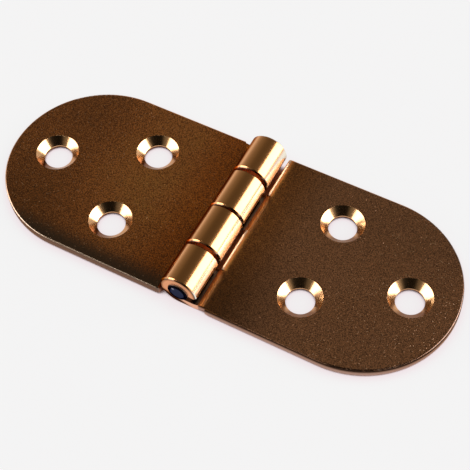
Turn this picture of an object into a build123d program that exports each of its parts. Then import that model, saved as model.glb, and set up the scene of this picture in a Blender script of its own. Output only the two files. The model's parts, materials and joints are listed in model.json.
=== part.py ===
"""Round-ended flap hinge: two identical leaves of rolled brass sheet on one plain steel pin.

The pin lies along Y and the leaves reach out along X, opened flat.
Each leaf is one piece of sheet. Its screw end is a flat plate. At the pin, two straps of the
same sheet bend down a little and roll round the pin in two knuckles. The second leaf is the
first one turned half round about Z, so the knuckles of one fill the notches of the other.
The origin is below the middle of the barrel, on the surface that the hinge lies on.
"""
from build123d import *
import os
from math import cos, radians, sin, tan

# Leaf plate, in millimetres
leaf_reach = 40.0
leaf_width = 31.8
sheet_thickness = 1.4
leaf_edge_round = 0.3
notch_edge_round = 0.5

# Barrel: the pin and the knuckles rolled round it
pin_diameter = 3.5
pin_clearance = 0.05
pin_proud = 0.3
pin_end_round = 0.15
barrel_inset = 0.35
outer_knuckle_length = 7.3
outer_knuckle_gap = 0.55
middle_knuckle_gap = 0.2
knuckle_edge_chamfer = 0.25
roll_wrap = 282.0
roll_end_round = 0.6

# Straps that run from the plate down into the roll
knuckle_drop = 0.6
step_angle = 30.0
notch_clearance = 0.2
strap_root = 4.8

# Screw holes, countersunk from above
tip_hole_inset = 7.8
inner_hole_reach = 17.0
inner_hole_spacing = 15.3
hole_row_offset = 0.5
screw_hole_diameter = 4.7
countersink_diameter = 7.2
countersink_angle = 90.0

# Sizes that follow from those above
bore_radius = pin_diameter / 2 + pin_clearance
barrel_radius = bore_radius + sheet_thickness
barrel_end = leaf_width / 2 - barrel_inset
inner_knuckle_start = middle_knuckle_gap / 2
inner_knuckle_length = barrel_end - outer_knuckle_length - outer_knuckle_gap - inner_knuckle_start
notch_edge = barrel_radius + notch_clearance
plate_bottom = knuckle_drop
plate_top = plate_bottom + sheet_thickness
plate_middle = plate_bottom + sheet_thickness / 2
pin_height = barrel_radius
tip_radius = leaf_width / 2


def leaf_plate():
    """Flat part of a leaf, from the notch line to the half-round tip, its upper edges rounded."""
    tip_centre = leaf_reach - tip_radius
    straight = tip_centre - notch_edge
    outline = Pos(tip_centre, 0) * Circle(tip_radius)
    outline += Pos(notch_edge + straight / 2, 0) * Rectangle(straight, leaf_width)
    outline -= Pos(notch_edge - tip_radius, 0) * Rectangle(2 * tip_radius, 2 * leaf_width)
    plate = Pos(0, 0, plate_bottom) * extrude(outline, sheet_thickness)
    plate = fillet(plate.edges().group_by(Axis.Z)[-1].filter_by(Axis.Y), notch_edge_round)
    outer_edges = plate.faces().sort_by(Axis.Z)[-1].edges()
    return fillet(outer_edges.sort_by(Axis.X)[1:], leaf_edge_round)


def sheet_skin(side):
    """One skin of the bent sheet, seen along the pin: step, strap and roll, from the plate on.

    side is 1 for the skin that is on top at the plate and -1 for the one below. The upper
    skin of the plate becomes the bore of the roll.
    """
    skin = side * sheet_thickness / 2
    turn = radians(step_angle)
    bend_radius = knuckle_drop / (2 * (1 - cos(turn)))
    step_run = 2 * bend_radius * sin(turn)
    root = (strap_root + sheet_thickness, plate_middle + skin)
    down_bend = CenterArc((strap_root, plate_middle - bend_radius), bend_radius + skin, 90, step_angle)
    strap_middle = sheet_thickness / 2
    level_centre = (strap_root - step_run, strap_middle + bend_radius)
    level_bend = CenterArc(level_centre, bend_radius - skin, 270 + step_angle, -step_angle)
    roll = CenterArc((0, pin_height), pin_height - strap_middle - skin, 270, -roll_wrap)
    return [Line(root, down_bend @ 0), down_bend, level_bend, Line(level_bend @ 1, roll @ 0), roll]


def knuckle(start, length):
    """One rolled knuckle with its strap, its near end at Y = start, outer rims broken."""
    upper = sheet_skin(1)
    lower = sheet_skin(-1)
    ends = [Line(upper[0] @ 0, lower[0] @ 0), Line(upper[-1] @ 1, lower[-1] @ 1)]
    section = make_face(upper + lower + ends)
    section = Plane.XZ * section
    roll = Pos(0, start, 0) * extrude(section, -length)
    roll = fillet(roll.edges().filter_by(Axis.Y).filter_by(is_roll_end_corner), roll_end_round)
    return chamfer(roll.edges().filter_by(GeomType.CIRCLE).filter_by(is_barrel_rim), knuckle_edge_chamfer)


def is_roll_end_corner(edge):
    """True for the outer edge of the sheet where the roll stops above the strap."""
    centre = edge.center()
    end_angle = radians(270 - roll_wrap)
    corner_x = barrel_radius * cos(end_angle)
    corner_z = pin_height + barrel_radius * sin(end_angle)
    return abs(centre.X - corner_x) + abs(centre.Z - corner_z) < 0.01


def is_barrel_rim(edge):
    """True for the outer round edges at the two ends of a knuckle."""
    return abs(edge.radius - barrel_radius) < 0.01


def strap_slot(start, end):
    """Cutter that takes the plate away over a strap, from Y = start to Y = end."""
    reach = strap_root - notch_edge + sheet_thickness
    slot = Box(reach, end - start, 3 * sheet_thickness)
    return Pos(strap_root - reach / 2, (start + end) / 2, plate_middle) * slot


def screw_hole(x, y):
    """Cutter for one countersunk screw hole, point down through the plate."""
    depth = (countersink_diameter - screw_hole_diameter) / 2 / tan(radians(countersink_angle / 2))
    cone = Cone(screw_hole_diameter / 2, countersink_diameter / 2, depth)
    cone = Pos(x, y, plate_top - depth / 2) * cone
    shank = Pos(x, y, plate_middle) * Cylinder(screw_hole_diameter / 2, 2 * sheet_thickness)
    return cone + shank


def leaf():
    """Right-hand leaf: plate, an outer and an inner knuckle, and three screw holes."""
    body = leaf_plate()
    body -= strap_slot(-leaf_width, outer_knuckle_length - barrel_end)
    body -= strap_slot(inner_knuckle_start, inner_knuckle_start + inner_knuckle_length)
    body += knuckle(-barrel_end, outer_knuckle_length)
    body += knuckle(inner_knuckle_start, inner_knuckle_length)
    body -= screw_hole(leaf_reach - tip_hole_inset, hole_row_offset)
    for row_side in (-1, 1):
        row_y = hole_row_offset + row_side * inner_hole_spacing / 2
        body -= screw_hole(inner_hole_reach, row_y)
    return body


def hinge_pin():
    """Plain round pin with rounded ends that stand a little proud of the barrel."""
    pin = Rot(90, 0, 0) * Cylinder(pin_diameter / 2, 2 * (barrel_end + pin_proud))
    pin = fillet(pin.edges().filter_by(GeomType.CIRCLE), pin_end_round)
    return Pos(0, 0, pin_height) * pin


def main():
    os.makedirs("parts", exist_ok=True)
    right_leaf = leaf()
    pieces = {
        "right_leaf": right_leaf,
        "left_leaf": Rot(0, 0, 180) * right_leaf,
        "hinge_pin": hinge_pin(),
    }
    for name, piece in pieces.items():
        export_step(piece, f"parts/{name}.step")


main()
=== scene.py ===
import json
import math
from typing import NamedTuple

import bpy
from bpy.props import FloatProperty, FloatVectorProperty, IntProperty, PointerProperty
from mathutils import Euler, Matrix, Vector


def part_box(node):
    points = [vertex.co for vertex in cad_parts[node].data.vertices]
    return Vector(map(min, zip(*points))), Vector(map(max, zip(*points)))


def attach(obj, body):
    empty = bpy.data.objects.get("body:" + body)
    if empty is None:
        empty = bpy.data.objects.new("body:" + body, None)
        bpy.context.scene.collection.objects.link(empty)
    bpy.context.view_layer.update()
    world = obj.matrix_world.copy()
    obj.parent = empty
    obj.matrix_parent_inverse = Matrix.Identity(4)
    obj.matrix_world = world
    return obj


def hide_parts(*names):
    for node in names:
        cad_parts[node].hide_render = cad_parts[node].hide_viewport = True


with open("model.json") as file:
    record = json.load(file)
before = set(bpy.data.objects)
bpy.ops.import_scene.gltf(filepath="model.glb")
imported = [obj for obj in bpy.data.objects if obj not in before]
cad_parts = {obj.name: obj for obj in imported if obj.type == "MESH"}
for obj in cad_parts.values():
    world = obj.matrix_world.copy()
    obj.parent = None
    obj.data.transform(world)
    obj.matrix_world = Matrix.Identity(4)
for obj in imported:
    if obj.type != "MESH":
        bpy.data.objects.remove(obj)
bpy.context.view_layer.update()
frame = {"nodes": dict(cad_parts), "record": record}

bl_info = {
    "name": "Flap Hinge Finish",
    "version": (1, 0, 0),
    "blender": (4, 5, 0),
    "location": "3D View > Sidebar > Flap Hinge",
    "description": "Finishes a round-ended flap hinge and sets it in a small studio",
    "category": "Object",
}

MM = 0.001
RIGHT_LEAF = "right_leaf"
LEFT_LEAF = "left_leaf"
HINGE_PIN = "hinge_pin"
GRAIN_GROUP = "Metal Grain"
FLOAT = "NodeSocketFloat"
VECTOR = "NodeSocketVector"
ORIGIN = (0.0, 0.0, 0.0)

pin_low, pin_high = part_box(HINGE_PIN)
pin_height = (pin_low.z + pin_high.z) / 2

# Most pairs of numbers below are limits, low and high, between which one finish gives way to another.
# X is the distance from the pin along the hinge, with the left side negative, and reach is the same
# without its sign. Y is along the pin, with the near side negative. Height is above the surface that
# the hinge lies on, radius is the distance from the pin's axis, and facing is one part of the surface's
# unit normal, from -1 to 1.

# Grain and slow blotches, as noises: scales per metre, detail, roughness, and levels from 0 to 1
GRAIN_DETAIL = 3.0
GRAIN_ROUGHNESS = 0.65
MOTTLE_LEVELS = (0.38, 0.62)
BLOTCH_SCALE = 160.0
BLOTCH_DETAIL = 4.0
BLOTCH_ROUGHNESS = 0.55
BLOTCH_LEVELS = (0.3, 0.7)
# Brightness between the blotches and in them
CLOUD_SHADES = (1.06, 0.92)
STEEL_GRAIN_SIZE = 0.25 * MM

# Bright specks: cells in the width of a grain, the share of the cells that has a speck, its size in
# cells, and where the specks get thicker towards the tip
SPECK_CELLS = 0.6
SPECK_SHARE = 0.12
SPECK_SPREAD = (0.12, 0.34)
SPECK_REACH = (14 * MM, 30 * MM)

# Darkening of the flat faces towards the tip and the near and far edges
TIP_DARKNESS_REACH = (16 * MM, 31 * MM)
NEAR_DARKNESS_FADE = 14 * MM
NEAR_DARKNESS_Y = (-17 * MM, 4 * MM)
FAR_DARKNESS_Y = (-2 * MM, 12 * MM)
DARK_BAND_Y = (-15.3 * MM, -11.8 * MM)

# The colour of worked sheet reaches this many times as far as the roll
WORKED_SPREAD = 3.0

# The rounded upper edge, between the cut edge and the flat face, where the left leaf has a painted
# highlight
CUT_EDGE_FACING = (0.35, 0.50)
FLAT_FACING = (0.72, 0.95)

# Cut faces: the plate's edges face sideways, and the knuckles' ends face along the pin
PLATE_START = (3.2 * MM, 3.6 * MM)
EDGE_FACING = (0.40, 0.75)
END_FACING = (0.75, 0.95)
EDGE_SHADE_HEIGHT = (1.0 * MM, 1.8 * MM)

# Rolled part: its border, measured from the roll's reach, which lies closer to the pin on the left;
# where the straps start; and what lies inside the roll
ROLL_BORDER = (-0.5 * MM, 0.3 * MM)
SIDE_CHANGE_X = (-0.5 * MM, 0.5 * MM)
LEFT_ROLL_SHIFT = 1.05 * MM
STRAP_START = (3.2 * MM, 3.5 * MM)
INSIDE_RADIUS = (3.0 * MM, 3.1 * MM)

# Painted shade on the barrel's left flank and a painted highlight on its right flank
SHADED_START_X = (-3.35 * MM, -3.25 * MM)
SHADED_END_X = (-2.50 * MM, -1.85 * MM)
HIGHLIGHT_START_X = (2.2 * MM, 2.6 * MM)
HIGHLIGHT_REACH = (3.25 * MM, 3.35 * MM)
HIGHLIGHT_HEIGHT = (pin_height + 1.15 * MM, pin_height + 2.00 * MM)

# Painted highlight on the upper rims of the right leaf's notches
NOTCH_RIM_HIGHLIGHT = 0.55
NOTCH_RIM_X = (3.3 * MM, 3.4 * MM)
NOTCH_RIM_REACH = (3.90 * MM, 4.10 * MM)
NOTCH_RIM_HEIGHT = (1.88 * MM, 1.94 * MM)

# Painted shade in the low part of the straps, under the roll, and on what slopes on the right, such as the
# straps' bend
STRAP_SHADE = 0.85
STRAP_SHADE_HEIGHT = (1.56 * MM, 1.70 * MM)
STRAP_SHADE_FACING = (-0.1, 0.3)
SLOPE_SHADE = 0.70
SLOPE_FACING = (0.03, 0.12)
SLOPE_X = (3.90 * MM, 4.15 * MM)

# Countersinks: the underside, which the cutter doesn't reach, the near wall, which has painted shade, and
# how far in turns, and how finely per metre, the turning rings waver
UNDERSIDE_FACING = (-0.9, -0.6)
NEAR_WALL_FACING = (0.40, 0.70)
WAVER_TURNS = 1.5
WAVER_SCALE = 900.0
WAVER_DETAIL = 1.0

# Knuckle ends: painted shade in the corner over the strap, along a slanted line, and in a ring round the
# roll; a painted highlight on the end of the strap; and the Y from which an end is an outer one
CORNER_SLANT = 0.45
CORNER_HEIGHT = (0.75 * MM, 1.55 * MM)
CORNER_SHADE = 0.04
RING_SHADE = 0.65
RING_RADIUS = (2.45 * MM, 3.05 * MM)
RING_HEIGHT = (2.2 * MM, 3.2 * MM)
STRAP_END_HEIGHT = (1.3 * MM, 1.9 * MM)
OUTER_END_Y = (15.0 * MM, 15.3 * MM)

# Lacquer: the share of it that is missing in two places, and its roughness
COUNTERSINK_BARE = 0.6
STRAP_BARE = 0.9
LACQUER_ROUGHNESS = 0.12

# Roughness that blotches and grain add, and bumps as height and strength
BLOTCH_ROUGHENING = 0.05
STEEL_ROUGHENING = 0.12
GRAIN_BUMP = (0.03 * MM, 0.8)
SPECK_BUMP = (0.04 * MM, 0.5)
TURNING_BUMP = (0.002 * MM, 0.5)
STEEL_BUMP = (0.02 * MM, 0.5)

# Pin: the rings of faces in each end, its round side, the blued face's border, and a painted glint in the
# near end
PIN_END_RINGS = 40
PIN_SIDE_FACING = (0.05, 0.30)
BLUED_BORDER = 0.1 * MM
GLINT_PLACE = (-0.70 * MM, pin_low.y, pin_height + 0.75 * MM)
GLINT_SPREAD = (0.12 * MM, 0.30 * MM)
GLINT_COLOUR = (0.34, 0.33, 0.38)

# Half the floor's width
FLOOR_REACH = 1.5
# The floor lies this much below the straps, so that no two faces share a plane
FLOOR_GAP = 0.02 * MM
FLOOR_ROUGHNESS = 0.9
# The floor in the notches, in the brown light that the brass walls throw on it
NOTCH_COLOUR = (0.42, 0.15, 0.08)
FLOOR_SHADE_COLOUR = (0.060, 0.055, 0.059)
# Colour of the floor's glow beside the hinge, where it is a faint painted shadow, and away from it
SHADOW_GLOW_COLOUR = (0.97, 0.86, 0.89)
GLOW_COLOUR = (1.0, 1.0, 1.0)
# How far round a spot of the floor its shade comes from, how open the spot has to be to glow, as it
# isn't in the notches, and how open for the glow to have its full colour
SHADE_DISTANCE = 6 * MM
GLOWING_OPENNESS = (0.26, 0.46)
FAR_OPENNESS = (0.45, 0.90)

# Soft lights: their distance, and the azimuths, elevations, in degrees, and colour of each
LIGHT_DISTANCE = 6.0
RIGHT_LIGHT = ((1.0, 50.0), (3.0, 46.0), (0.98, 0.99, 1.0))
LEFT_LIGHT = ((180.0, 235.0), (2.0, 32.0), (1.0, 0.99, 0.97))

# Colour of the room by elevation in degrees
ROOM_COLOURS = (
    (0, (0.90, 0.88, 0.85)),
    (14, (0.45, 0.42, 0.37)),
    (24, (0.31, 0.28, 0.22)),
    (34, (0.23, 0.205, 0.15)),
    (44, (0.19, 0.165, 0.11)),
    (52, (0.13, 0.112, 0.072)),
    (60, (0.10, 0.086, 0.055)),
    (90, (0.10, 0.086, 0.055)),
)
# The photographer's side: azimuth and elevation of each dark place, the angles round it at which it is
# still dark and where it ends, in degrees, and the share of the room's light that is left in it
DARK_PLACES = ((-58.0, 35.0, 20.0, 44.0), (-100.0, 4.0, 14.0, 34.0))
DARK_SHARE = 0.02

SENSOR_WIDTH_MM = 36.0
CLIP_START = 5 * MM


def mount_of(name):
    """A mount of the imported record, by its name."""
    return next(mount for mount in frame["record"]["mounts"] if mount["name"] == name)


def screw_holes():
    """Centres of the right leaf's screw holes, as (x, y) in metres."""
    tip = mount_of("right_leaf_tip_screw")["pos_m"]
    pair = mount_of("right_leaf_screw_pair")
    half_gap = pair["dims"]["spacing_y_mm"] * MM / 2
    x, y = pair["pos_m"][:2]
    return [(tip[0], tip[1]), (x, y - half_gap), (x, y + half_gap)]


# Kinds of property
COLOUR = {"subtype": "COLOR", "size": 3, "min": 0.0, "max": 1.0}
SHARE = {"subtype": "FACTOR", "min": 0.0, "max": 1.0}
LENGTH = {"subtype": "DISTANCE", "unit": "LENGTH"}


class BrassFinish(bpy.types.PropertyGroup):
    """Colours and surface of the brass sheet."""

    right_colour: FloatVectorProperty(
        name="Right Leaf Colour", description="Reflected colour of the right leaf's flat face",
        default=(0.60, 0.277, 0.150), **COLOUR)
    left_colour: FloatVectorProperty(
        name="Left Leaf Colour", description="Reflected colour of the left leaf's flat face",
        default=(0.87, 0.305, 0.085), **COLOUR)
    worked_tint: FloatVectorProperty(
        name="Worked Tint",
        description="Share of the flat colour left beside the knuckles, where the sheet was worked",
        default=(0.80, 0.63, 0.29), **COLOUR)
    speck_colour: FloatVectorProperty(
        name="Speck Colour", description="Reflected colour of the small bright specks of the tumbled faces",
        default=(1.0, 0.66, 0.44), **COLOUR)
    # Painted highlight on the left leaf's rounded edge
    edge_highlight_colour: FloatVectorProperty(
        name="Edge Highlight Colour",
        description="Painted highlight on the left leaf's rounded edge",
        default=(0.95, 0.72, 0.52), **COLOUR)
    band_colour: FloatVectorProperty(
        name="Band Colour", description="Blue-black tarnish along the near edge of the left leaf",
        default=(0.085, 0.055, 0.040), **COLOUR)
    barrel_colour: FloatVectorProperty(
        name="Barrel Colour", description="Reflected colour of the burnished knuckles",
        default=(0.80, 0.36, 0.13), **COLOUR)
    # Painted shade on the barrel's left flank
    shaded_colour: FloatVectorProperty(
        name="Shaded Flank Colour", description="Reflected colour of the barrel's dull left flank",
        default=(0.34, 0.09, 0.012), **COLOUR)
    # Painted highlight on the barrel's right flank and on the notch rims
    flank_highlight_colour: FloatVectorProperty(
        name="Flank Highlight Colour",
        description="Painted highlight on the barrel's right flank and on the notch rims",
        default=(1.0, 0.95, 0.80), **COLOUR)
    strap_colour: FloatVectorProperty(
        name="Strap Colour", description="Reflected colour of the straps that run down into the knuckles",
        default=(1.0, 0.36, 0.10), **COLOUR)
    # Painted shade in the bore and under the roll's end
    inside_shade_colour: FloatVectorProperty(
        name="Inside Shade Colour",
        description="Painted shade in the bore and on the sheet under the roll's end",
        default=(0.10, 0.04, 0.015), **COLOUR)
    machined_colour: FloatVectorProperty(
        name="Machined Colour", description="Reflected colour of the freshly cut countersinks",
        default=(0.90, 0.52, 0.26), **COLOUR)
    # Painted shade on the near wall of each countersink
    near_wall_shade_colour: FloatVectorProperty(
        name="Near Wall Shade Colour",
        description="Painted shade on the near side of each countersink",
        default=(0.24, 0.11, 0.07), **COLOUR)
    cut_colour: FloatVectorProperty(
        name="Cut Colour", description="Reflected colour of the blanked edges",
        default=(0.50, 0.335, 0.275), **COLOUR)
    end_colour: FloatVectorProperty(
        name="Knuckle End Colour", description="Reflected colour of the outer knuckles' flat ends",
        default=(0.95, 0.47, 0.27), **COLOUR)
    # Painted highlight on the straps' ends
    strap_end_highlight_colour: FloatVectorProperty(
        name="Strap End Highlight Colour",
        description="Painted highlight on the straps' flat ends, below the knuckles",
        default=(0.98, 0.60, 0.42), **COLOUR)
    # Painted shade on the knuckle ends in the seams
    seam_shade_colour: FloatVectorProperty(
        name="Seam Shade Colour",
        description="Painted shade on the knuckle ends that face each other in the seams",
        default=(0.66, 0.26, 0.11), **COLOUR)
    grazing_tint: FloatVectorProperty(
        name="Grazing Tint", description="Share of the light that the brass reflects at a grazing angle",
        default=(0.55, 0.38, 0.25), **COLOUR)
    tip_shade: FloatProperty(
        name="Tip Shade", description="Share of the left leaf's brightness that tarnish leaves at its tip",
        default=0.56, **SHARE)
    near_shade: FloatProperty(
        name="Near Shade",
        description="Share of the left leaf's brightness that tarnish leaves at its near edge",
        default=0.64, **SHARE)
    leaf_roughness: FloatProperty(
        name="Leaf Roughness", description="Roughness of the flat, tumbled faces",
        default=0.27, **SHARE)
    barrel_roughness: FloatProperty(
        name="Barrel Roughness", description="Roughness of the burnished knuckles",
        default=0.19, **SHARE)
    strap_roughness: FloatProperty(
        name="Strap Roughness", description="Roughness of the straps and of the notches' rounded edges",
        default=0.50, **SHARE)
    countersink_roughness: FloatProperty(
        name="Countersink Roughness", description="Roughness of the turned countersinks",
        default=0.19, **SHARE)
    cut_roughness: FloatProperty(
        name="Cut Roughness", description="Roughness of the blanked edges and knuckle ends",
        default=0.38, **SHARE)
    grain_size: FloatProperty(
        name="Grain Size", description="Width of the tumbling grain on the flat faces",
        min=0.02 * MM, default=0.14 * MM, **LENGTH)
    ring_pitch: FloatProperty(
        name="Turning Pitch", description="Distance between the turning rings of a countersink",
        min=0.02 * MM, default=0.16 * MM, **LENGTH)
    countersink_radius: FloatProperty(
        name="Countersink Radius", description="Rim radius of a countersink",
        min=0.0, default=3.6 * MM, **LENGTH)
    roll_reach: FloatProperty(
        name="Roll Reach", description="How far from the pin's axis the burnished, rolled part goes",
        min=0.0, default=4.6 * MM, **LENGTH)


class PinFinish(bpy.types.PropertyGroup):
    """Shape and colour of the turned steel pin."""

    steel_colour: FloatVectorProperty(
        name="Steel Colour", description="Reflected colour of the blued end faces",
        default=(0.048, 0.054, 0.082), **COLOUR)
    # Painted dark reflection on the ring round each pin end
    rim_shade_colour: FloatVectorProperty(
        name="Rim Shade Colour", description="Painted dark reflection on the ring round each end face",
        default=(0.008, 0.007, 0.009), **COLOUR)
    # Painted reflection of the brass on the pin's round side
    side_reflection_colour: FloatVectorProperty(
        name="Side Reflection Colour",
        description="Painted reflection of the brass on the pin's round side",
        default=(0.95, 0.62, 0.42), **COLOUR)
    grazing_tint: FloatVectorProperty(
        name="Grazing Tint", description="Share of the light that the steel reflects at a grazing angle",
        default=(0.35, 0.35, 0.42), **COLOUR)
    roughness: FloatProperty(
        name="Roughness", description="Roughness of the pin's ends",
        default=0.30, **SHARE)
    side_roughness: FloatProperty(
        name="Side Roughness", description="Roughness of the pin's round side",
        default=0.80, **SHARE)
    blued_radius: FloatProperty(
        name="Blued Radius", description="Radius of the blued middle of each end face",
        min=0.0, default=1.18 * MM, **LENGTH)
    dome_height: FloatProperty(
        name="Dome Height", description="Rise of each end's middle over its rim",
        min=0.0, default=0.04 * MM, **LENGTH)
    edge_round: FloatProperty(
        name="Edge Round", description="Rounding of each end's rim",
        min=0.0, default=0.15 * MM, **LENGTH)
    sides: IntProperty(
        name="Sides", description="Flat faces round the pin", min=24, max=256, default=120)


class StudioSettings(bpy.types.PropertyGroup):
    """Camera, lights and floor."""

    camera_place: FloatVectorProperty(
        name="Camera Place", description="Where the photograph was taken from",
        subtype="TRANSLATION", unit="LENGTH", size=3, default=(0.05832, -0.09220, 0.16507))
    camera_turn: FloatVectorProperty(
        name="Camera Turn", description="Which way the photograph was taken",
        subtype="EULER", unit="ROTATION", size=3,
        default=(math.radians(33.055), math.radians(2.164), math.radians(28.315)))
    lens: FloatProperty(
        name="Lens", description="Focal length for a 36 mm wide picture",
        unit="CAMERA", min=1.0, default=92.9)
    floor_glow: FloatProperty(
        name="Floor Glow", description="Evenness of the floor: the light that it shows without shade",
        min=0.0, default=0.865)
    right_strength: FloatProperty(
        name="Right Strength", description="Brightness of the soft light at the right",
        min=0.0, default=4.9)
    left_strength: FloatProperty(
        name="Left Strength", description="Brightness of the soft light at the left",
        min=0.0, default=3.9)
    room_brightness: FloatProperty(
        name="Room Brightness", description="Scale of the room's own brightness",
        min=0.0, default=1.0)


class LeafLook(NamedTuple):
    """What differs from leaf to leaf. A shade is the share of the brightness that is left."""

    # Angle that turns the leaf onto the right leaf's place
    half_turn: float
    colour: tuple
    # Contrast of the grain
    mottle: float
    # Strength of the specks beside the pin and at the tip
    speck_weight: float
    tip_speck_weight: float
    tip_shade: float
    near_shade: float
    # Reach up to which the near edge has all its darkness
    near_reach: float
    far_shade: float
    # Strength of the dark band on the near edge, and of the painted highlight on the rounded upper edge
    band: float
    edge_highlight: float
    # Painted shade of the cut edges, at the bottom and at the top
    edge_shade: float
    upper_edge_shade: float
    # The countersinks' walls with painted shade face this far along X for 1 along Y
    near_turn: float


def feed(tree, socket, value):
    """Link a value to an input socket where it is a socket itself, or else set it there."""
    if isinstance(value, bpy.types.NodeSocket):
        tree.links.new(value, socket)
    else:
        socket.default_value = value


def fill(tree, node, values):
    """Feed a node's inputs; values maps their names to sockets or plain values. Returns the node."""
    for label, value in values.items():
        feed(tree, node.inputs[label], value)
    return node


def new_group(name, inputs, outputs):
    """An empty shader node group with named sockets; each is a name, a type and a default."""
    group = bpy.data.node_groups.new(name, "ShaderNodeTree")
    for label, kind, default in inputs:
        socket = group.interface.new_socket(label, in_out="INPUT", socket_type=kind)
        socket.default_value = default
    for label, kind in outputs:
        group.interface.new_socket(label, in_out="OUTPUT", socket_type=kind)
    return group, group.nodes.new("NodeGroupInput"), group.nodes.new("NodeGroupOutput")


def group_node(tree, group, values):
    """A node of a shader group; values maps input names to sockets or numbers. Returns its outputs."""
    node = tree.nodes.new("ShaderNodeGroup")
    node.node_tree = group
    return fill(tree, node, values).outputs


def math_node(tree, operation, *values, clamp=False):
    """The result socket of a Math node; each value is a socket or a number."""
    node = tree.nodes.new("ShaderNodeMath")
    node.operation = operation
    node.use_clamp = clamp
    for socket, value in zip(node.inputs, values):
        feed(tree, socket, value)
    return node.outputs[0]


def chained(tree, operation, values):
    """Several values joined one after another by one operation; each is a socket or a number."""
    result = values[0]
    for value in values[1:]:
        result = math_node(tree, operation, result, value)
    return result


def product(tree, *values):
    """Several values multiplied; each is a socket or a number."""
    return chained(tree, "MULTIPLY", values)


def largest(tree, *values):
    """The largest of several values; each is a socket or a number."""
    return chained(tree, "MAXIMUM", values)


def opposite(tree, mask):
    """1 where a mask is 0, and 0 where it is 1."""
    return math_node(tree, "SUBTRACT", 1.0, mask)


def vector_node(tree, operation, *values):
    """A Vector Math node; each value is a socket or three numbers."""
    node = tree.nodes.new("ShaderNodeVectorMath")
    node.operation = operation
    for socket, value in zip(node.inputs, values):
        feed(tree, socket, value)
    return node


def axes(tree, vector):
    """The X, Y and Z sockets of a vector."""
    node = tree.nodes.new("ShaderNodeSeparateXYZ")
    tree.links.new(vector, node.inputs["Vector"])
    return node.outputs[:3]


def eased(tree, value, limits, start, end):
    """value mapped from its limits, low and high, to start and end, eased and held at both."""
    node = tree.nodes.new("ShaderNodeMapRange")
    node.interpolation_type = "SMOOTHSTEP"
    low, high = limits
    values = {"Value": value, "From Min": low, "From Max": high, "To Min": start, "To Max": end}
    return fill(tree, node, values).outputs["Result"]


def above(tree, value, limits):
    """Mask that is 0 below the limits and 1 above them."""
    return eased(tree, value, limits, 0.0, 1.0)


def below(tree, value, limits):
    """Mask that is 1 below the limits and 0 above them."""
    return eased(tree, value, limits, 1.0, 0.0)


def mix_value(tree, factor, first, second):
    """A number between first and second; each is a socket or a number."""
    node = tree.nodes.new("ShaderNodeMix")
    node.data_type = "FLOAT"
    for socket, value in ((node.inputs[0], factor), (node.inputs[2], first), (node.inputs[3], second)):
        feed(tree, socket, value)
    return node.outputs[0]


def mix_colour(tree, factor, first, second):
    """A colour between first and second; each is a socket or three numbers, and factor a socket."""
    node = tree.nodes.new("ShaderNodeMix")
    node.data_type = "RGBA"
    feed(tree, node.inputs[0], factor)
    for socket, colour in ((node.inputs[6], first), (node.inputs[7], second)):
        feed(tree, socket, colour if isinstance(colour, bpy.types.NodeSocket) else (*colour, 1.0))
    return node.outputs[2]


def scaled_colour(tree, colour, factor):
    """A colour, given as a socket or three numbers, times a number socket."""
    node = vector_node(tree, "SCALE", colour)
    tree.links.new(factor, node.inputs["Scale"])
    return node.outputs[0]


def noise(tree, vector, scale, detail, roughness=0.5):
    """A Noise texture's value; scale is a socket or a number, per metre."""
    node = tree.nodes.new("ShaderNodeTexNoise")
    values = {"Vector": vector, "Scale": scale, "Detail": detail, "Roughness": roughness}
    return fill(tree, node, values).outputs["Fac"]


def bump(tree, height, size, normal=None):
    """The normal of a Bump node; size is a distance in metres and a strength."""
    node = tree.nodes.new("ShaderNodeBump")
    distance, strength = size
    fill(tree, node, {"Height": height, "Distance": distance, "Strength": strength})
    if normal is not None:
        tree.links.new(normal, node.inputs["Normal"])
    return node.outputs["Normal"]


def new_material(name):
    """An empty node material with a Principled shader; returns the material, its tree and the shader."""
    material = bpy.data.materials.new(name)
    material.use_nodes = True
    tree = material.node_tree
    return material, tree, tree.nodes["Principled BSDF"]


def metal_grain_group():
    """Fine grain, slow blotches and scattered bright specks. Brass and steel share the one group."""
    if GRAIN_GROUP in bpy.data.node_groups:
        return bpy.data.node_groups[GRAIN_GROUP]
    group, given, result = new_group(
        GRAIN_GROUP,
        [("Vector", VECTOR, ORIGIN), ("Grain Size", FLOAT, 0.3 * MM), ("Speck Share", FLOAT, SPECK_SHARE)],
        [("Grain", FLOAT), ("Blotches", FLOAT), ("Specks", FLOAT)])
    place = given.outputs["Vector"]
    density = math_node(group, "DIVIDE", 1.0, given.outputs["Grain Size"])
    fine = noise(group, place, density, GRAIN_DETAIL, GRAIN_ROUGHNESS)
    group.links.new(fine, result.inputs["Grain"])
    blotches = noise(group, place, BLOTCH_SCALE, BLOTCH_DETAIL, BLOTCH_ROUGHNESS)
    group.links.new(above(group, blotches, BLOTCH_LEVELS), result.inputs["Blotches"])
    cells = group.nodes.new("ShaderNodeTexVoronoi")
    cells.feature = "F1"
    group.links.new(place, cells.inputs["Vector"])
    group.links.new(product(group, density, SPECK_CELLS), cells.inputs["Scale"])
    chosen = group.nodes.new("ShaderNodeSeparateColor")
    group.links.new(cells.outputs["Color"], chosen.inputs["Color"])
    near = below(group, cells.outputs["Distance"], SPECK_SPREAD)
    picked = math_node(group, "LESS_THAN", chosen.outputs[0], given.outputs["Speck Share"])
    group.links.new(product(group, near, picked), result.inputs["Specks"])
    return group


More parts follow.
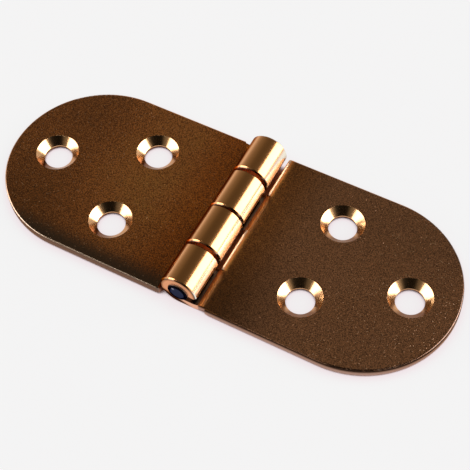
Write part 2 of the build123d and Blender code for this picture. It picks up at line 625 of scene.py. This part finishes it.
def turning_rings_group():
    """Rings that a countersink cutter leaves round one hole's axis, and a mask of that hole."""
    group, given, result = new_group(
        "Turning Rings",
        [("Vector", VECTOR, ORIGIN), ("Centre", VECTOR, ORIGIN), ("Radius", FLOAT, 3.6 * MM),
         ("Pitch", FLOAT, 0.16 * MM)],
        [("Rings", FLOAT), ("Mask", FLOAT)])
    offset = vector_node(group, "SUBTRACT", given.outputs["Vector"], given.outputs["Centre"])
    flat = vector_node(group, "MULTIPLY", offset.outputs[0], (1.0, 1.0, 0.0))
    reach = vector_node(group, "LENGTH", flat.outputs[0]).outputs["Value"]
    waver = noise(group, given.outputs["Vector"], WAVER_SCALE, WAVER_DETAIL)
    turns = math_node(group, "DIVIDE", reach, given.outputs["Pitch"])
    phase = math_node(group, "MULTIPLY_ADD", waver, WAVER_TURNS, turns)
    wave = math_node(group, "SINE", product(group, phase, math.tau))
    group.links.new(math_node(group, "MULTIPLY_ADD", wave, 0.5, 0.5), result.inputs["Rings"])
    inside = math_node(group, "LESS_THAN", reach, given.outputs["Radius"])
    group.links.new(inside, result.inputs["Mask"])
    return group


def darkness_group():
    """Slow darkening of one leaf towards its tip and its near edge, and a narrow band along that edge."""
    group, given, result = new_group(
        "Tarnish",
        [("Vector", VECTOR, ORIGIN), ("Tip Shade", FLOAT, 1.0), ("Near Shade", FLOAT, 1.0),
         ("Near Reach", FLOAT, 0.1), ("Far Shade", FLOAT, 1.0)],
        [("Shade", FLOAT), ("Band", FLOAT)])
    x, y, _ = axes(group, given.outputs["Vector"])
    reach = math_node(group, "ABSOLUTE", x)
    tip = eased(group, reach, TIP_DARKNESS_REACH, 1.0, given.outputs["Tip Shade"])
    fade_start = given.outputs["Near Reach"]
    fade_end = math_node(group, "ADD", fade_start, NEAR_DARKNESS_FADE)
    kept = eased(group, reach, (fade_start, fade_end), given.outputs["Near Shade"], 1.0)
    near = eased(group, y, NEAR_DARKNESS_Y, kept, 1.0)
    far = eased(group, y, FAR_DARKNESS_Y, 1.0, given.outputs["Far Shade"])
    group.links.new(product(group, tip, near, far), result.inputs["Shade"])
    group.links.new(below(group, y, DARK_BAND_Y), result.inputs["Band"])
    return group


def pin_distance(tree, place):
    """Distance of a place from the pin's axis."""
    raised = vector_node(tree, "SUBTRACT", place, (0.0, 0.0, pin_height)).outputs[0]
    offset = vector_node(tree, "MULTIPLY", raised, (1.0, 0.0, 1.0)).outputs[0]
    return vector_node(tree, "LENGTH", offset).outputs["Value"]


class LeafSpot:
    """Sockets that say where a point of a leaf is and which way its surface faces.

    turned_place and turned_x are turned onto the right leaf's place, so both leaves share its sizes.
    """

    def __init__(self, tree, half_turn):
        coordinates = tree.nodes.new("ShaderNodeTexCoord")
        self.place = coordinates.outputs["Object"]
        turned = tree.nodes.new("ShaderNodeMapping")
        turned.vector_type = "POINT"
        turned.inputs["Rotation"].default_value = (0.0, 0.0, half_turn)
        tree.links.new(self.place, turned.inputs["Vector"])
        self.turned_place = turned.outputs["Vector"]
        self.x, self.y, self.height = axes(tree, self.place)
        self.turned_x = axes(tree, self.turned_place)[0]
        self.reach = math_node(tree, "ABSOLUTE", self.x)
        self.radius = pin_distance(tree, self.place)
        self.facing_x, self.facing_y, self.facing_z = axes(tree, coordinates.outputs["Normal"])


def countersink_marks(tree, spot, finish, rings_group):
    """Mask and turning rings of the three countersinks, joined into one socket each."""
    masks = []
    heights = []
    for x, y in screw_holes():
        rings = group_node(tree, rings_group, {
            "Vector": spot.turned_place, "Centre": (x, y, 0.0), "Radius": finish.countersink_radius,
            "Pitch": finish.ring_pitch})
        masks.append(rings["Mask"])
        heights.append(product(tree, rings["Rings"], rings["Mask"]))
    reached = above(tree, spot.facing_z, UNDERSIDE_FACING)
    return product(tree, largest(tree, *masks), reached), product(tree, largest(tree, *heights), reached)


class LeafMasks:
    """Sockets that are 1 on one kind of surface of a leaf and 0 elsewhere."""

    def __init__(self, tree, spot, finish, rings_group):
        self.machined, self.turning = countersink_marks(tree, spot, finish, rings_group)
        left_shift = eased(tree, spot.x, SIDE_CHANGE_X, LEFT_ROLL_SHIFT, 0.0)
        roll_border = [finish.roll_reach + border for border in ROLL_BORDER]
        self.rolled = below(tree, math_node(tree, "ADD", spot.reach, left_shift), roll_border)
        self.strap = product(tree, above(tree, spot.reach, STRAP_START), self.rolled)
        self.flat = opposite(tree, largest(tree, self.rolled, self.machined))
        self.shaded = product(tree, above(tree, spot.x, SHADED_START_X), below(tree, spot.x, SHADED_END_X))

        knuckle = below(tree, spot.reach, PLATE_START)
        plate = math_node(tree, "SUBTRACT", opposite(tree, knuckle), self.machined, clamp=True)
        upright = math_node(tree, "ABSOLUTE", spot.facing_z)
        endwise = math_node(tree, "ABSOLUTE", spot.facing_y)
        self.edges = product(tree, below(tree, upright, EDGE_FACING), plate)
        self.ends = product(tree, above(tree, endwise, END_FACING), knuckle)
        self.cut = largest(tree, self.edges, self.ends)
        self.inside = product(tree, below(tree, spot.radius, INSIDE_RADIUS), opposite(tree, self.cut))


def flat_colour(tree, spot, masks, grain, darkness, look, finish):
    """Colour of the flat faces: grain, blotches, darkness, bright specks and a painted highlight on the
    upper edge.
    """
    worked = below(tree, spot.reach, (finish.roll_reach, WORKED_SPREAD * finish.roll_reach))
    worked_colour = [channel * tint for channel, tint in zip(look.colour, finish.worked_tint)]
    colour = mix_colour(tree, worked, look.colour, worked_colour)
    cloud = eased(tree, grain["Blotches"], (0.0, 1.0), *CLOUD_SHADES)
    mottle = eased(tree, grain["Grain"], MOTTLE_LEVELS, 1.0 - look.mottle, 1.0 + look.mottle)
    colour = scaled_colour(tree, colour, product(tree, cloud, mottle, darkness["Shade"]))
    colour = mix_colour(tree, product(tree, darkness["Band"], look.band), colour, finish.band_colour)
    speck_weight = eased(tree, spot.reach, SPECK_REACH, look.speck_weight, look.tip_speck_weight)
    specks = product(tree, grain["Specks"], speck_weight)
    colour = mix_colour(tree, specks, colour, finish.speck_colour)
    # Painted highlight on the left leaf's rounded upper edge
    highlight_weight = eased(tree, spot.facing_z, FLAT_FACING, look.edge_highlight, 0.0)
    highlit_edge = product(tree, highlight_weight, above(tree, spot.facing_z, CUT_EDGE_FACING), masks.flat)
    return mix_colour(tree, highlit_edge, colour, finish.edge_highlight_colour)


def rolled_colour(tree, spot, masks, colour, finish):
    """colour with the knuckles and straps on it: painted shade on the left flank, low on the straps and on
    slopes at the right, and a painted highlight on the right flank and the notch rims.
    """
    burnished = mix_colour(tree, masks.strap, finish.barrel_colour, finish.strap_colour)
    colour = mix_colour(tree, masks.rolled, colour, burnished)
    # Painted shade on the barrel's left flank
    colour = mix_colour(tree, masks.shaded, colour, finish.shaded_colour)
    # Painted highlight on the barrel's right flank and on the notch rims
    flank_highlight = product(tree, above(tree, spot.x, HIGHLIGHT_START_X), below(tree, spot.height, HIGHLIGHT_HEIGHT),
                         below(tree, spot.reach, HIGHLIGHT_REACH))
    notch_rim_highlight = product(tree, eased(tree, spot.height, NOTCH_RIM_HEIGHT, 0.0, NOTCH_RIM_HIGHLIGHT),
                        below(tree, spot.reach, NOTCH_RIM_REACH), above(tree, spot.x, NOTCH_RIM_X))
    colour = mix_colour(tree, largest(tree, flank_highlight, notch_rim_highlight), colour, finish.flank_highlight_colour)
    # Painted shade low on the straps under the roll, and on what slopes on the right
    low = product(tree, below(tree, spot.height, STRAP_SHADE_HEIGHT),
                  above(tree, spot.facing_z, STRAP_SHADE_FACING), masks.rolled)
    slope = above(tree, math_node(tree, "ABSOLUTE", spot.facing_x), SLOPE_FACING)
    sloping = product(tree, slope, above(tree, spot.x, SLOPE_X))
    shade = product(tree, math_node(tree, "MULTIPLY_ADD", low, -STRAP_SHADE, 1.0),
                    math_node(tree, "MULTIPLY_ADD", sloping, -SLOPE_SHADE, 1.0))
    return scaled_colour(tree, colour, shade)


def countersunk_colour(tree, spot, masks, colour, look, finish):
    """colour with the countersinks on it, with painted shade on their near walls."""
    # Painted shade on each countersink's near wall
    facing = math_node(tree, "MULTIPLY_ADD", spot.facing_x, look.near_turn, spot.facing_y)
    shaded_wall = above(tree, facing, NEAR_WALL_FACING)
    wall_colour = mix_colour(tree, shaded_wall, finish.machined_colour, finish.near_wall_shade_colour)
    return mix_colour(tree, masks.machined, colour, wall_colour)


def cut_colour(tree, spot, masks, colour, look, finish):
    """colour with the blanked edges, the knuckles' ends and the inside of the rolls on it, with painted
    shade on each and a painted highlight on the straps' ends.
    """
    # Painted shade on the cut edges, darker towards their top
    edge_shade = eased(tree, spot.height, EDGE_SHADE_HEIGHT, look.edge_shade, look.upper_edge_shade)
    colour = mix_colour(tree, masks.edges, colour, scaled_colour(tree, finish.cut_colour, edge_shade))
    # Painted shade on the knuckle ends, in the corner over the strap and in a ring round the roll
    slanted = math_node(tree, "MULTIPLY_ADD", spot.turned_x, CORNER_SLANT, spot.height)
    corner = eased(tree, slanted, CORNER_HEIGHT, CORNER_SHADE, 1.0)
    ring = product(tree, eased(tree, spot.radius, RING_RADIUS, 0.0, RING_SHADE),
                   above(tree, spot.height, RING_HEIGHT))
    end_shade = product(tree, corner, opposite(tree, ring))
    # Painted highlight on the strap's end, and painted shade on the ends in the seams
    strap_end = below(tree, spot.height, STRAP_END_HEIGHT)
    end_colour = mix_colour(tree, strap_end, finish.end_colour, finish.strap_end_highlight_colour)
    outer = above(tree, math_node(tree, "ABSOLUTE", spot.y), OUTER_END_Y)
    end_colour = mix_colour(tree, outer, finish.seam_shade_colour, scaled_colour(tree, end_colour, end_shade))
    colour = mix_colour(tree, masks.ends, colour, end_colour)
    # Painted shade inside the roll
    return mix_colour(tree, masks.inside, colour, finish.inside_shade_colour)


def brass_roughness(tree, masks, grain, finish):
    """Roughness of the leaf's different surfaces."""
    rough = math_node(tree, "MULTIPLY_ADD", grain["Blotches"], BLOTCH_ROUGHENING, finish.leaf_roughness)
    roll_rough = mix_value(tree, masks.strap, finish.barrel_roughness, finish.strap_roughness)
    rough = mix_value(tree, masks.rolled, rough, roll_rough)
    rough = mix_value(tree, masks.machined, rough, finish.countersink_roughness)
    return mix_value(tree, masks.cut, rough, finish.cut_roughness)


def brass_bumps(tree, masks, grain):
    """Normal of the leaf's surface: grain and specks on the flat faces, rings in the countersinks."""
    normal = bump(tree, product(tree, grain["Grain"], masks.flat), GRAIN_BUMP)
    normal = bump(tree, product(tree, grain["Specks"], masks.flat), SPECK_BUMP, normal)
    return bump(tree, masks.turning, TURNING_BUMP, normal)


def brass_material(name, look, finish, groups):
    """Lacquered brass of one leaf."""
    material, tree, shader = new_material(name)
    spot = LeafSpot(tree, look.half_turn)
    masks = LeafMasks(tree, spot, finish, groups["rings"])
    grain = group_node(tree, groups["grain"], {
        "Vector": spot.turned_place, "Grain Size": finish.grain_size, "Speck Share": SPECK_SHARE})
    darkness = group_node(tree, groups["darkness"], {
        "Vector": spot.place, "Tip Shade": look.tip_shade, "Near Shade": look.near_shade,
        "Near Reach": look.near_reach, "Far Shade": look.far_shade})

    colour = flat_colour(tree, spot, masks, grain, darkness, look, finish)
    colour = rolled_colour(tree, spot, masks, colour, finish)
    colour = countersunk_colour(tree, spot, masks, colour, look, finish)
    colour = cut_colour(tree, spot, masks, colour, look, finish)
    bare = largest(tree, masks.cut, masks.shaded, product(tree, masks.machined, COUNTERSINK_BARE),
                   product(tree, masks.strap, STRAP_BARE))
    fill(tree, shader, {
        "Base Color": colour, "Roughness": brass_roughness(tree, masks, grain, finish),
        "Normal": brass_bumps(tree, masks, grain), "Metallic": 1.0,
        "Specular Tint": (*finish.grazing_tint, 1.0), "Coat Weight": opposite(tree, bare),
        "Coat Roughness": LACQUER_ROUGHNESS})
    return material


def steel_material(finish):
    """Dark blued steel of the pin's ends, with a painted dark reflection round each end's rim and a painted
    glint, and a painted reflection of the brass on its round side.
    """
    material, tree, shader = new_material("Blued Steel")
    coordinates = tree.nodes.new("ShaderNodeTexCoord")
    place = coordinates.outputs["Object"]
    grain_values = {"Vector": place, "Grain Size": STEEL_GRAIN_SIZE}
    grain = group_node(tree, metal_grain_group(), grain_values)["Grain"]
    endwise = math_node(tree, "ABSOLUTE", axes(tree, coordinates.outputs["Normal"])[1])
    side = below(tree, endwise, PIN_SIDE_FACING)
    blued_border = (finish.blued_radius - BLUED_BORDER, finish.blued_radius + BLUED_BORDER)
    blued = below(tree, pin_distance(tree, place), blued_border)
    # Painted dark reflection on the ring round each end face
    colour = mix_colour(tree, blued, finish.rim_shade_colour, finish.steel_colour)
    # Painted glint in the near end
    from_glint = vector_node(tree, "DISTANCE", place, GLINT_PLACE).outputs["Value"]
    colour = mix_colour(tree, below(tree, from_glint, GLINT_SPREAD), colour, GLINT_COLOUR)
    # Painted reflection of the brass on the round side
    colour = mix_colour(tree, side, colour, finish.side_reflection_colour)
    rough = math_node(tree, "MULTIPLY_ADD", grain, STEEL_ROUGHENING, finish.roughness)
    rough = mix_value(tree, side, rough, finish.side_roughness)
    fill(tree, shader, {
        "Base Color": colour, "Roughness": rough, "Normal": bump(tree, grain, STEEL_BUMP),
        "Metallic": opposite(tree, side), "Specular Tint": (*finish.grazing_tint, 1.0)})
    return material


def pin_end_fall(tree, reach, given):
    """How far the pin's domed end, with its rounded rim, lies below its middle at this reach."""
    share = math_node(tree, "DIVIDE", reach, given["Radius"])
    dome = product(tree, math_node(tree, "POWER", share, 2.0), given["Dome Height"])
    core = math_node(tree, "SUBTRACT", given["Radius"], given["Edge Round"])
    past_core = largest(tree, math_node(tree, "SUBTRACT", reach, core), 0.0)
    round_squared = math_node(tree, "POWER", given["Edge Round"], 2.0)
    left = math_node(tree, "SUBTRACT", round_squared, math_node(tree, "POWER", past_core, 2.0))
    rounded = math_node(tree, "SQRT", largest(tree, left, 0.0))
    return math_node(tree, "ADD", dome, math_node(tree, "SUBTRACT", given["Edge Round"], rounded))


def upward(tree, value):
    """A vector of this length along Z."""
    node = tree.nodes.new("ShaderNodeCombineXYZ")
    tree.links.new(value, node.inputs["Z"])
    return node.outputs[0]


def pin_tree():
    """Geometry Nodes that turn a round pin along Y with domed, rounded ends."""
    tree = bpy.data.node_groups.new("Turned Pin", "GeometryNodeTree")
    inputs = (
        ("Radius", FLOAT), ("Length", FLOAT), ("Height", FLOAT), ("Dome Height", FLOAT),
        ("Edge Round", FLOAT), ("Sides", "NodeSocketInt"), ("Rings", "NodeSocketInt"),
        ("Material", "NodeSocketMaterial"))
    for label, kind in inputs:
        tree.interface.new_socket(label, in_out="INPUT", socket_type=kind)
    tree.interface.new_socket("Geometry", in_out="OUTPUT", socket_type="NodeSocketGeometry")
    given = tree.nodes.new("NodeGroupInput").outputs
    result = tree.nodes.new("NodeGroupOutput")

    bar = tree.nodes.new("GeometryNodeMeshCylinder")
    bar.fill_type = "TRIANGLE_FAN"
    fill(tree, bar, {"Vertices": given["Sides"], "Fill Segments": given["Rings"],
                     "Radius": given["Radius"], "Depth": given["Length"]})

    position = tree.nodes.new("GeometryNodeInputPosition").outputs[0]
    flat = vector_node(tree, "MULTIPLY", position, (1.0, 1.0, 0.0))
    reach = vector_node(tree, "LENGTH", flat.outputs[0]).outputs["Value"]
    side = math_node(tree, "SIGN", axes(tree, position)[2])
    drop = product(tree, pin_end_fall(tree, reach, given), side, -1.0)

    shape = bar.outputs["Mesh"]
    steps = (
        ("GeometryNodeSetPosition", {"Offset": upward(tree, drop)}),
        ("GeometryNodeTransform", {"Rotation": (math.pi / 2, 0.0, 0.0),
                                   "Translation": upward(tree, given["Height"])}),
        ("GeometryNodeSetShadeSmooth", {}),
        ("GeometryNodeRealizeInstances", {}),
        ("GeometryNodeSetMaterial", {"Material": given["Material"]}),
    )
    for kind, values in steps:
        shape = fill(tree, tree.nodes.new(kind), {"Geometry": shape, **values}).outputs[0]
    tree.links.new(shape, result.inputs["Geometry"])
    return tree


def new_object(name, data):
    """A new object with this data, in the scene."""
    item = bpy.data.objects.new(name, data)
    bpy.context.scene.collection.objects.link(item)
    return item


def grown_mesh(name, tree, values):
    """A plain mesh object made by a Geometry Nodes tree with these input values."""
    seed = new_object(name + "_seed", bpy.data.meshes.new(name + "_seed"))
    modifier = seed.modifiers.new("Shape", "NODES")
    modifier.node_group = tree
    sockets = {item.name: item.identifier for item in tree.interface.items_tree if item.in_out == "INPUT"}
    for label, value in values.items():
        modifier[sockets[label]] = value
    seed.update_tag()
    evaluated = seed.evaluated_get(bpy.context.evaluated_depsgraph_get())
    mesh = bpy.data.meshes.new_from_object(evaluated)
    seed.modifiers.clear()
    bpy.data.objects.remove(seed)
    mesh.name = name
    return new_object(name, mesh)


class HINGE_OT_finish_leaves(bpy.types.Operator):
    """Give both leaves their lacquered brass finish"""

    bl_idname = "hinge.finish_leaves"
    bl_label = "Finish Leaves"

    def execute(self, context):
        finish = context.scene.hinge_brass
        groups = {"grain": metal_grain_group(), "rings": turning_rings_group(), "darkness": darkness_group()}
        right_look = LeafLook(
            half_turn=0.0, colour=tuple(finish.right_colour), mottle=0.65, speck_weight=0.2,
            tip_speck_weight=0.9, tip_shade=0.96, near_shade=0.42, near_reach=6 * MM, far_shade=0.83,
            band=0.0, edge_highlight=0.0, edge_shade=1.0, upper_edge_shade=0.04, near_turn=-0.5)
        left_look = LeafLook(
            half_turn=math.pi, colour=tuple(finish.left_colour), mottle=0.80, speck_weight=0.5,
            tip_speck_weight=0.9, tip_shade=finish.tip_shade, near_shade=finish.near_shade,
            near_reach=100 * MM, far_shade=0.86, band=0.9, edge_highlight=0.5, edge_shade=0.48,
            upper_edge_shade=0.38, near_turn=0.1)
        leaves = (
            (RIGHT_LEAF, "Right Leaf Brass", right_look),
            (LEFT_LEAF, "Left Leaf Brass", left_look),
        )
        for node, name, look in leaves:
            material = brass_material(name, look, finish, groups)
            leaf = frame["nodes"][node]
            for slot in leaf.material_slots:
                slot.material = material
        return {"FINISHED"}


class HINGE_OT_turn_pin(bpy.types.Operator):
    """Turn the steel pin with its domed ends"""

    bl_idname = "hinge.turn_pin"
    bl_label = "Turn Pin"

    def execute(self, context):
        finish = context.scene.hinge_pin
        pin = grown_mesh("turned_pin", pin_tree(), {
            "Radius": (pin_high.x - pin_low.x) / 2, "Length": pin_high.y - pin_low.y, "Height": pin_height,
            "Dome Height": finish.dome_height, "Edge Round": finish.edge_round, "Sides": finish.sides,
            "Rings": PIN_END_RINGS, "Material": steel_material(finish)})
        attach(pin, RIGHT_LEAF)
        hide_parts(HINGE_PIN)
        return {"FINISHED"}


def direction(azimuth, elevation):
    """Unit vector at these angles in degrees; azimuth 0 is +X and 90 is +Y."""
    level = math.cos(math.radians(elevation))
    return Vector((level * math.cos(math.radians(azimuth)), level * math.sin(math.radians(azimuth)),
                   math.sin(math.radians(elevation))))


def soft_light(name, strength, azimuths, elevations, colour):
    """A soft rectangular light that fills these two ranges of angles, seen from the hinge."""
    lamp = bpy.data.lights.new(name, "AREA")
    lamp.shape = "RECTANGLE"
    lamp.size = 2 * LIGHT_DISTANCE * math.tan(math.radians(azimuths[1] - azimuths[0]) / 2)
    lamp.size_y = 2 * LIGHT_DISTANCE * math.tan(math.radians(elevations[1] - elevations[0]) / 2)
    lamp.color = colour
    lamp.energy = strength * lamp.size * lamp.size_y * math.pi
    towards = direction(sum(azimuths) / 2, sum(elevations) / 2)
    light = new_object(name, lamp)
    light.location = LIGHT_DISTANCE * towards
    light.rotation_euler = towards.to_track_quat("Z", "Y").to_euler()
    light.visible_camera = False


def room_world(studio):
    """The room round the table: bright low down, dim overhead, dark where the photographer stood."""
    world = bpy.data.worlds.new("Dim Room")
    world.use_nodes = True
    tree = world.node_tree
    towards = tree.nodes.new("ShaderNodeTexCoord").outputs["Generated"]
    room = tree.nodes.new("ShaderNodeValToRGB")
    stops = room.color_ramp.elements
    for elevation, _ in ROOM_COLOURS[1:-1]:
        stops.new(math.sin(math.radians(elevation)))
    for stop, (elevation, colour) in zip(stops, ROOM_COLOURS):
        stop.position = math.sin(math.radians(elevation))
        stop.color = (*colour, 1.0)
    tree.links.new(axes(tree, towards)[2], room.inputs["Fac"])
    shares = []
    for azimuth, elevation, dark_angle, clear_angle in DARK_PLACES:
        aside = vector_node(tree, "DOT_PRODUCT", towards, direction(azimuth, elevation)).outputs["Value"]
        cosines = (math.cos(math.radians(clear_angle)), math.cos(math.radians(dark_angle)))
        shares.append(eased(tree, aside, cosines, 1.0, DARK_SHARE))
    strength = product(tree, chained(tree, "MINIMUM", shares), studio.room_brightness)
    background = tree.nodes["Background"]
    tree.links.new(room.outputs["Color"], background.inputs["Color"])
    tree.links.new(strength, background.inputs["Strength"])
    return world


def floor_material(studio):
    """Pale, evenly lit floor with a faint painted shadow beside the hinge, and only a plain matt one where
    the hinge keeps the light off it.
    """
    material, tree, shader = new_material("Pale Floor")
    fill(tree, shader, {
        "Base Color": (*NOTCH_COLOUR, 1.0), "Roughness": FLOOR_ROUGHNESS, "Specular IOR Level": 0.0})
    openness = fill(tree, tree.nodes.new("ShaderNodeAmbientOcclusion"), {"Distance": SHADE_DISTANCE})
    open_sky = openness.outputs["AO"]
    # Painted shadow: a faint pink glow beside the hinge
    glow_colour = mix_colour(tree, above(tree, open_sky, FAR_OPENNESS), SHADOW_GLOW_COLOUR, GLOW_COLOUR)
    glow = fill(tree, tree.nodes.new("ShaderNodeEmission"), {
        "Color": glow_colour, "Strength": studio.floor_glow})
    shade = fill(tree, tree.nodes.new("ShaderNodeBsdfDiffuse"), {"Color": (*FLOOR_SHADE_COLOUR, 1.0)})
    lit = tree.nodes.new("ShaderNodeAddShader")
    tree.links.new(glow.outputs[0], lit.inputs[0])
    tree.links.new(shade.outputs[0], lit.inputs[1])
    chosen = tree.nodes.new("ShaderNodeMixShader")
    tree.links.new(above(tree, open_sky, GLOWING_OPENNESS), chosen.inputs[0])
    tree.links.new(shader.outputs[0], chosen.inputs[1])
    tree.links.new(lit.outputs[0], chosen.inputs[2])
    tree.links.new(chosen.outputs[0], tree.nodes["Material Output"].inputs["Surface"])
    return material


class HINGE_OT_set_stage(bpy.types.Operator):
    """Lay the floor and set the lights and the camera"""

    bl_idname = "hinge.set_stage"
    bl_label = "Set Stage"

    def execute(self, context):
        studio = context.scene.hinge_studio
        signs = ((-1, -1), (1, -1), (1, 1), (-1, 1))
        corners = [(x * FLOOR_REACH, y * FLOOR_REACH, -FLOOR_GAP) for x, y in signs]
        mesh = bpy.data.meshes.new("floor")
        mesh.from_pydata(corners, [], [(0, 1, 2, 3)])
        mesh.materials.append(floor_material(studio))
        floor = new_object("floor", mesh)

        soft_light("right_soft_light", studio.right_strength, *RIGHT_LIGHT)
        soft_light("left_soft_light", studio.left_strength, *LEFT_LIGHT)
        context.scene.world = room_world(studio)
        context.scene.view_settings.view_transform = "Standard"

        data = bpy.data.cameras.new("camera")
        data.lens = studio.lens
        data.sensor_width = SENSOR_WIDTH_MM
        data.clip_start = CLIP_START
        camera = new_object("camera", data)
        camera.location = studio.camera_place
        camera.rotation_euler = Euler(studio.camera_turn)
        context.scene.camera = camera
        return {"FINISHED"}


class HINGE_PT_panel(bpy.types.Panel):
    """Sizes, finishes and steps of the flap hinge"""

    bl_idname = "HINGE_PT_panel"
    bl_label = "Flap Hinge"
    bl_space_type = "VIEW_3D"
    bl_region_type = "UI"
    bl_category = "Flap Hinge"

    def draw(self, context):
        scene = context.scene
        steps = (
            (scene.hinge_brass, HINGE_OT_finish_leaves),
            (scene.hinge_pin, HINGE_OT_turn_pin),
            (scene.hinge_studio, HINGE_OT_set_stage),
        )
        for settings, step in steps:
            box = self.layout.box()
            for name in settings.bl_rna.properties.keys():
                if name not in ("name", "rna_type"):
                    box.prop(settings, name)
            box.operator(step.bl_idname)


CLASSES = (BrassFinish, PinFinish, StudioSettings, HINGE_OT_finish_leaves, HINGE_OT_turn_pin,
           HINGE_OT_set_stage, HINGE_PT_panel)


def register():
    for cls in CLASSES:
        bpy.utils.register_class(cls)
    bpy.types.Scene.hinge_brass = PointerProperty(type=BrassFinish)
    bpy.types.Scene.hinge_pin = PointerProperty(type=PinFinish)
    bpy.types.Scene.hinge_studio = PointerProperty(type=StudioSettings)


def unregister():
    del bpy.types.Scene.hinge_studio
    del bpy.types.Scene.hinge_pin
    del bpy.types.Scene.hinge_brass
    for cls in reversed(CLASSES):
        bpy.utils.unregister_class(cls)


def main():
    register()
    bpy.ops.hinge.finish_leaves()
    bpy.ops.hinge.turn_pin()
    bpy.ops.hinge.set_stage()


if __name__ == "__main__":
    main()
